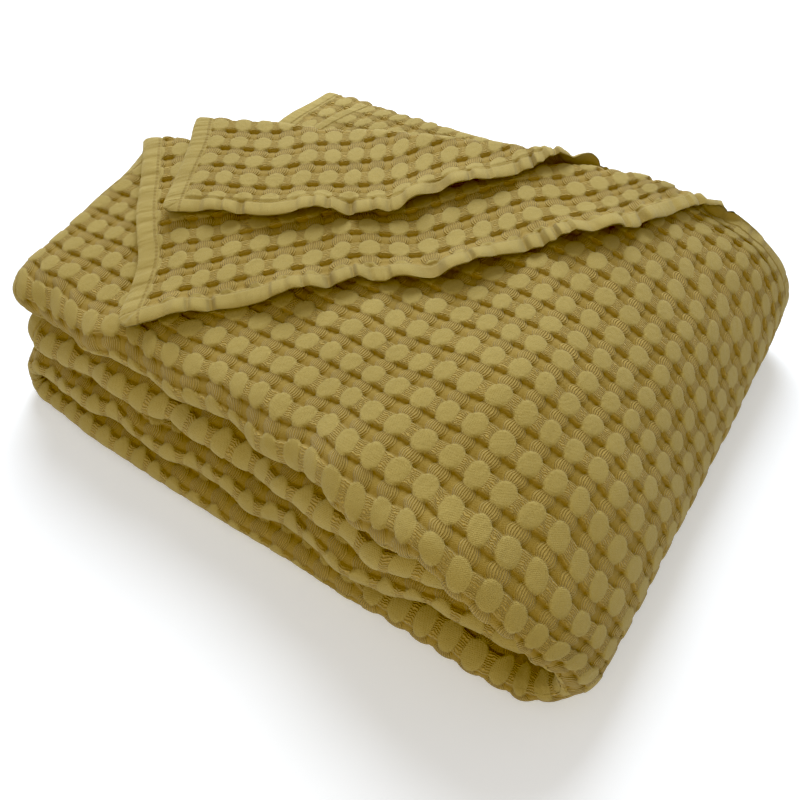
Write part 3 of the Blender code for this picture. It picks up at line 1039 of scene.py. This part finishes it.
@dataclass(frozen=True)
class Finish:
    """Colours and surface of the dyed cotton, with shade painted into its gaps, grooves, pinches, pockets
    and strands.

    Its patterns repeat this often in each cell of 15.07 by 20.59 mm, or at the distance that is given.
    """

    disc: str = "#A49457"
    # the same cotton as the discs, coloured darker as painted shade for the sunken pockets
    pocket: str = "#998444"
    strand: str = "#A48F4F"
    # dark colour of the painted shade in the gaps, stitch grooves and pinches
    painted_shade: str = "#6B4E14"
    roughness: float = 0.86
    roughness_vary: float = 0.08
    sheen: float = 0.12
    specular: float = 0.25  # half of the usual, as loose fibres scatter the shine
    stain_scale: float = 0.11  # patches of 150 mm, from uneven washing
    cloud_scale: float = 1.3  # of 13 mm, from cell to cell
    crinkle_scale: float = 5.0  # of 3.5 mm, as the strands curl
    fuzz_scale: float = 40.0  # of 0.4 mm: real fibres are finer, and wouldn't show
    thread_gap: float = 0.00103  # between plain weave's threads: real ones are 0.5 mm, and wouldn't show
    strand_gap: float = 0.00114  # between the loose strands of a ridge, of two or three real yarns each
    barrel_strands: float = 4.7  # in half of a barrel, so they are 0.6 to 1.3 mm apart
    strand_bend: float = 0.15
    stitch_u: float = 4.8  # stitches of 3.1 mm
    stitch_v: float = 6.5  # and of 3.2 mm
    stitch_at: float = 0.0112  # metres, off the hem's edge
    stitch_half: tuple[float, float] = (0.0003, 0.0011)
    stitch_gap: tuple[float, float] = (-0.4, 0.2)
    hem_edge: tuple[float, float] = (-0.0004, 0.0012)  # the weave shows from here, past the hem's width
    disc_edge: tuple[float, float] = (0.99, 1.07)  # in half sizes
    ridge_edge: tuple[float, float] = (0.92, 1.06)
    barrel_edge: tuple[float, float] = (0.90, 1.04)
    frayed: float = 0.22  # how ragged the curled strands make a disc's outline
    ragged: float = 0.34  # and its fuzz
    strand_depth: float = 0.00036  # metres, as are the depths below
    thread_depth: float = 0.00009
    fuzz_depth: float = 0.00038
    stitch_depth: float = 0.0003
    stitch_groove: float = 1.6  # in stitch depths
    pinch_depth: float = 0.0016
    dimple_depth: float = 0.0007
    crease_depth: float = 0.0042
    crease_from: tuple[float, float] = (-0.003, 0.004)  # creases run out from here, past the hem's width
    crease_along: tuple[float, float] = (0.30, 1.9)  # of an end hem, on each way of the cloth
    crease_aside: tuple[float, float] = (1.4, 0.40)  # of a side hem
    corner_blend: float = 0.002
    bump: float = 0.9
    shade_round_disc: tuple[float, float] = (1.05, 1.34)  # painted shade darkens the gap round a disc to here
    shade_beside_ridge: tuple[float, float] = (1.02, 1.50)  # and beside a ridge
    gap_shade: tuple[float, float] = (0.06, 0.32)  # strength of the painted shade in the gaps: at least, and more with the clouds
    # painted shade in the stitch groove, and in the hem's pinches below
    groove_shade: float = 0.28
    pinch_shade: float = 0.30
    tone: float = 0.66
    cloud_tone: float = 0.14
    fuzz_tone: float = 0.44
    # painted light on the strands' crests and painted shade between them
    painted_strand_shading: float = 0.17
    stain_tone: float = 0.12


class Cotton(Shader):
    """Washed waffle cotton: soft cotton yarn, dyed ochre, woven on a dobby loom, washed and tumbled.

    Plain weave holds flat discs together, and the yarns float loose between them, where washing shrinks
    and curls them. That gives the eye dull, slightly fuzzy discs with ragged edges, strands that catch
    the light side by side, dark gaps where the pockets fall away, and hems that their stitching creases.
    Its colour also holds painted shade in the gaps, stitch grooves, pinches and pockets, and painted light
    and shade across the strands.
    """

    def __init__(self, finish: Finish, weave: Weave, hem: Hem) -> None:
        """Draws the cloth's pattern from its cells and hems, step by step.

        Args:
            finish: Its colours, and sizes of what is too fine for the mesh.
            weave: The mesh's weave.
            hem: The mesh's hem.
        """
        super().__init__("ochre_waffle_cotton")
        self.finish, self.weave, self.hem = finish, weave, hem
        self.read()
        self.part()
        self.spin()
        self.sew()
        self.raise_up()
        self.dye()

    def read(self) -> None:
        """Reads places in cells and distances to the hems, and spreads what is uneven over the cells."""
        add, finish = self.add, self.finish
        cells = add("UVMap", uv_map="cells")
        self.u, self.v = add("SeparateXYZ", cells).node.outputs[:2]
        hems = add("Attribute", attribute_name="hems", out=1)
        self.to_end, self.to_side, self.pinch = add("SeparateXYZ", hems).node.outputs
        along, aside = (
            add("Mapping", cells, links={"Scale": (*scale, 1.0)})
            for scale in (finish.crease_along, finish.crease_aside)
        )
        self.cloud, self.crinkle, self.fuzz, self.stain, *self.creases = (
            add("TexNoise", links={"Vector": place, "Scale": scale, "Detail": detail})
            for place, scale, detail in (
                (cells, finish.cloud_scale, 3.0),
                (cells, finish.crinkle_scale, 2.0),
                (cells, finish.fuzz_scale, 2.0),
                (cells, finish.stain_scale, 2.0),
                (along, 1.0, 2.0),
                (aside, 1.0, 2.0),
            )
        )
        self.curl = add("SUBTRACT", self.crinkle, 0.5)

    def part(self) -> None:
        """Parts the hem, and each cell into disc, ridge, barrel and the open cloth between."""
        add, finish, weave = self.add, self.finish, self.weave
        x, y = (add("SUBTRACT", add("FRACT", add("ADD", place, 0.5)), 0.5) for place in (self.u, self.v))
        far_x, far_y = add("ABSOLUTE", x), add("ABSOLUTE", y)
        sides = (
            add("POWER", add("DIVIDE", far, half), weave.disc_power)
            for far, half in ((far_x, weave.disc[0]), (far_y, weave.disc[1]))
        )
        ragged = add("MULTIPLY", add("SUBTRACT", self.fuzz, 0.5), finish.ragged)
        ragged = add("ADD", add("MULTIPLY", self.curl, finish.frayed), ragged)
        self.radius = add("ADD", add("POWER", add("ADD", *sides), 1 / weave.disc_power), ragged)
        turn = add("MapRange", far_y, weave.float_v_from, 0.5, 0.0, 0.5 * math.pi)
        narrow, wide = weave.float_v_half
        half = add("ADD", add("MULTIPLY", add("SINE", turn), wide - narrow), narrow)
        self.edge = add("MINIMUM", self.to_end, self.to_side)
        self.on_hem = add("MapRange", self.edge, *self.past_hem(finish.hem_edge), *FALLING, **EASED)
        woven = add("SUBTRACT", 1.0, self.on_hem)
        self.disc = add("MapRange", self.radius, *finish.disc_edge, *FALLING, **EASED)
        self.disc = add("MULTIPLY", self.disc, woven)
        off_disc = add("SUBTRACT", woven, self.disc)
        self.in_ridge = add("DIVIDE", far_y, weave.float_u_half)
        self.ridge = add("MapRange", self.in_ridge, *finish.ridge_edge, *FALLING, **EASED)
        self.ridge = add("MULTIPLY", self.ridge, off_disc)
        self.open = add("SUBTRACT", off_disc, self.ridge)
        self.in_barrel = add("DIVIDE", x, half)
        barrel = add("MapRange", add("ABSOLUTE", self.in_barrel), *finish.barrel_edge, *FALLING, **EASED)
        self.barrel = add("MULTIPLY", barrel, self.open)

    def past_hem(self, offsets: Sequence[float]) -> list[float]:
        """Distances off the cloth's edge that lie past the hem's width by these."""
        return [self.hem.width + offset for offset in offsets]

    def spin(self) -> None:
        """Lays strands side by side on ridges and barrels, and plain weave on the rest."""
        add, finish = self.add, self.finish
        bend = add("MULTIPLY", self.curl, finish.strand_bend)
        ridge, barrel = (
            add("SINE", add("MULTIPLY", add("ADD", place, bend), TURN * strands))
            for place, strands in (
                (self.v, round(self.weave.pitch_v / finish.strand_gap)),
                (self.in_barrel, finish.barrel_strands),
            )
        )
        ridge, barrel = add("MULTIPLY", ridge, self.ridge), add("MULTIPLY", barrel, self.barrel)
        self.strands = add("ADD", ridge, barrel)
        self.floats = add("ADD", self.ridge, self.barrel)
        threads = (
            add("SINE", add("MULTIPLY", place, TURN * round(pitch / finish.thread_gap)))
            for place, pitch in ((self.u, self.weave.pitch_u), (self.v, self.weave.pitch_v))
        )
        self.threads = add("MULTIPLY", add("MULTIPLY", *threads), add("SUBTRACT", 1.0, self.floats))

    def sew(self) -> None:
        """Sews the hems with a line of stitches in a groove, and creases the cloth beside it."""
        add, finish = self.add, self.finish
        seams, stitches = [], []
        end, side = (self.to_end, self.v, finish.stitch_v), (self.to_side, self.u, finish.stitch_u)
        for distance, place, count in (end, side):
            off = add("ABSOLUTE", add("SUBTRACT", distance, finish.stitch_at))
            seams.append(add("MapRange", off, *finish.stitch_half, *FALLING, **EASED))
            step = add("SINE", add("MULTIPLY", place, TURN * count))
            step = add("MapRange", step, *finish.stitch_gap, *RISING, **EASED)
            stitches.append(add("MULTIPLY", seams[-1], step))
        self.groove, self.stitches = add("MAXIMUM", *seams), add("MAXIMUM", *stitches)
        self.nip = add("MULTIPLY", self.pinch, self.on_hem)
        creased = add("MapRange", self.edge, *self.past_hem(finish.crease_from), *FALLING, **EASED)
        span = (-finish.corner_blend, finish.corner_blend)
        nearer_side = add("SUBTRACT", self.to_end, self.to_side)
        nearer_side = add("MapRange", nearer_side, *span, *RISING, **EASED)
        crease = add("Mix", links={0: nearer_side, 2: self.creases[0], 3: self.creases[1]})
        self.crease = add("MULTIPLY", crease, add("MULTIPLY", creased, finish.crease_depth))

    def raise_up(self) -> None:
        """Raises strands, threads, fuzz, stitches and creases from the surface."""
        add, finish = self.add, self.finish
        stitches = add("SUBTRACT", self.stitches, add("MULTIPLY", self.groove, finish.stitch_groove))
        strands, threads, fuzz, stitches, nip, dimple = (
            add("MULTIPLY", value, depth)
            for value, depth in (
                (self.strands, finish.strand_depth),
                (self.threads, finish.thread_depth),
                (self.fuzz, finish.fuzz_depth),
                (stitches, finish.stitch_depth),
                (self.nip, finish.pinch_depth),
                (add("MULTIPLY", self.curl, self.disc), finish.dimple_depth),
            )
        )
        height = add("ADD", add("ADD", strands, threads), add("ADD", fuzz, stitches))
        height = add("ADD", add("SUBTRACT", add("ADD", height, self.crease), nip), dimple)
        bump = add("Bump", links={"Height": height, "Distance": 1.0, "Strength": finish.bump})
        self.tree.links.new(bump, self.principled.inputs["Normal"])

    def dye(self) -> None:
        """Colours each part, paints shade into gaps, grooves, pinches and pockets and across strands, and
        sets how dull it is.
        """
        add, finish, inputs = self.add, self.finish, self.principled.inputs
        # painted shade: the open cloth round each disc and under each ridge is darkened, more where the
        # clouds are
        rim = add("MapRange", self.radius, *finish.shade_round_disc, *FALLING, **EASED)
        shade_under_ridge = add("MapRange", self.in_ridge, *finish.shade_beside_ridge, *FALLING, **EASED)
        painted_gap_shade = add("MAXIMUM", add("MULTIPLY", rim, self.open), add("MULTIPLY", shade_under_ridge, self.open))
        least, more = finish.gap_shade
        painted_gap_shade = add("MULTIPLY", painted_gap_shade, add("ADD", least, add("MULTIPLY", self.cloud, more)))
        # painted shade in the stitch groove and in the hem's pinches
        groove = add("MULTIPLY", self.groove, finish.groove_shade)
        painted_seam_shade = add("MAXIMUM", groove, add("MULTIPLY", self.nip, finish.pinch_shade))
        base = linear(finish.pocket)
        for share, colour in (
            (self.disc, finish.disc),
            (self.floats, finish.strand),
            (self.on_hem, finish.disc),
            (painted_gap_shade, finish.painted_shade),
            (painted_seam_shade, finish.painted_shade),
        ):
            base = add("Mix", links={0: share, 6: base, 7: linear(colour)}, out=2, data_type="RGBA")
        cloud, fuzz, strands, stain = (
            add("MULTIPLY", value, share)
            for value, share in (
                (self.cloud, finish.cloud_tone),
                (self.fuzz, finish.fuzz_tone),
                (self.strands, finish.painted_strand_shading),
                (self.stain, finish.stain_tone),
            )
        )
        # the strands' term is painted light and shade; the clouds, fuzz and stains vary at random
        tone = add("ADD", add("ADD", finish.tone, add("ADD", cloud, fuzz)), add("ADD", strands, stain))
        links = {0: 1.0, 6: base, 7: add("CombineXYZ", tone, tone, tone)}
        colour = add("Mix", links=links, out=2, data_type="RGBA", blend_type="MULTIPLY")
        rough = add("MULTIPLY", self.fuzz, finish.roughness_vary)
        rough = add("ADD", finish.roughness - finish.roughness_vary / 2, rough)
        self.tree.links.new(colour, inputs["Base Color"])
        self.tree.links.new(rough, inputs["Roughness"])
        inputs["Sheen Weight"].default_value = finish.sheen
        inputs["Specular IOR Level"].default_value = finish.specular


@dataclass(frozen=True)
class Lamp:
    """A round soft light that points at the blanket."""

    name: str
    place: tuple[float, float, float]
    size: float
    power: float
    colour: tuple[float, float, float]

    def build(self) -> None:
        """Adds it to the scene."""
        light = bpy.data.lights.new(self.name, "AREA")
        light.shape = "DISK"
        light.size, light.energy, light.color = self.size, self.power, self.colour
        lamp = bpy.data.objects.new(self.name, light)
        lamp.location = self.place
        x, y, z = np.array(self.place) / np.linalg.norm(self.place)
        lamp.rotation_euler = (math.acos(z), 0.0, math.atan2(x, -y))
        bpy.context.scene.collection.objects.link(lamp)


@dataclass(frozen=True)
class Setting:
    """Floor, lights and camera."""

    floor: str = "#E9EFFA"
    floor_glow: float = 0.30
    floor_roughness: float = 0.9
    floor_size: float = 16.0
    floor_z: float = -0.0002  # just clear of the cloth that lies on it
    toe: tuple[float, float, float] = (0.004, 0.011, 0.017)  # black level of the view
    sky: tuple[float, float, float, float] = (1.0, 0.96, 0.88, 1.0)
    sky_strength: float = 0.43
    lamps: tuple[Lamp, ...] = (
        Lamp("key", (-0.85, 1.15, 1.35), 1.4, 46.0, (0.98, 1.0, 1.0)),
        Lamp("fill", (0.6, -1.6, 1.2), 1.8, 11.5, (1.0, 0.75, 0.36)),
    )
    camera: tuple[float, float, float] = (0.2500, -0.3462, 0.4100)
    azimuth: float = 36.2  # degrees
    elevation: float = 46.0  # degrees, down
    lens: float = 40.5  # millimetres, on a frame of the next width
    frame: float = 36.0
    clip_start: float = 0.02

    def build(self) -> None:
        """Adds them to the scene."""
        view = bpy.context.scene.view_settings
        view.view_transform = "Standard"
        view.use_curve_mapping = True
        view.curve_mapping.black_level = self.toe
        view.curve_mapping.update()
        self.lay_floor()
        world = bpy.data.worlds.new("studio")
        world.use_nodes = True
        back = world.node_tree.nodes["Background"].inputs
        back["Color"].default_value, back["Strength"].default_value = self.sky, self.sky_strength
        bpy.context.scene.world = world
        for lamp in self.lamps:
            lamp.build()
        self.place_camera()

    def lay_floor(self) -> None:
        """Adds the floor: board rolled with matt paint, which gives the eye a pale, even ground."""
        half = self.floor_size / 2
        mesh = bpy.data.meshes.new("floor")
        corners = [(x * half, y * half, self.floor_z) for x, y in ((-1, -1), (1, -1), (1, 1), (-1, 1))]
        mesh.from_pydata(corners, [], [(0, 1, 2, 3)])
        floor = bpy.data.objects.new("floor", mesh)
        bpy.context.scene.collection.objects.link(floor)
        paint = Shader("pale_floor")
        for name, value in (
            ("Base Color", linear(self.floor)),
            ("Roughness", self.floor_roughness),
            ("Emission Color", linear(self.floor)),
            ("Emission Strength", self.floor_glow),
        ):
            paint.principled.inputs[name].default_value = value
        mesh.materials.append(paint.material)

    def place_camera(self) -> None:
        """Adds the camera, level from side to side."""
        data = bpy.data.cameras.new("camera")
        data.lens, data.sensor_width, data.clip_start = self.lens, self.frame, self.clip_start
        camera = bpy.data.objects.new("camera", data)
        camera.location = self.camera
        camera.rotation_euler = (math.radians(90 - self.elevation), 0.0, math.radians(self.azimuth))
        bpy.context.scene.collection.objects.link(camera)
        bpy.context.scene.camera = camera


def main() -> None:
    """Builds the blanket and its setting round the CAD frame."""
    logging.basicConfig(level=logging.INFO)
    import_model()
    for obj in bpy.context.selected_objects:
        obj.select_set(False)
    weave, hem = Weave(), Hem()
    cloth = Cloth(Folding(), weave, hem, Unevenness())
    material = Cotton(Finish(), weave, hem).material
    for patch in cloth.patches():
        piece = cloth.build(patch, material)
        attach(piece, "root")
        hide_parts("blanket")
        triangles = sum(len(face.vertices) - 2 for face in piece.data.polygons)
        LOG.info("%s: %d triangles", patch.name, triangles)
    Setting().build()


if __name__ == "__main__":
    main()
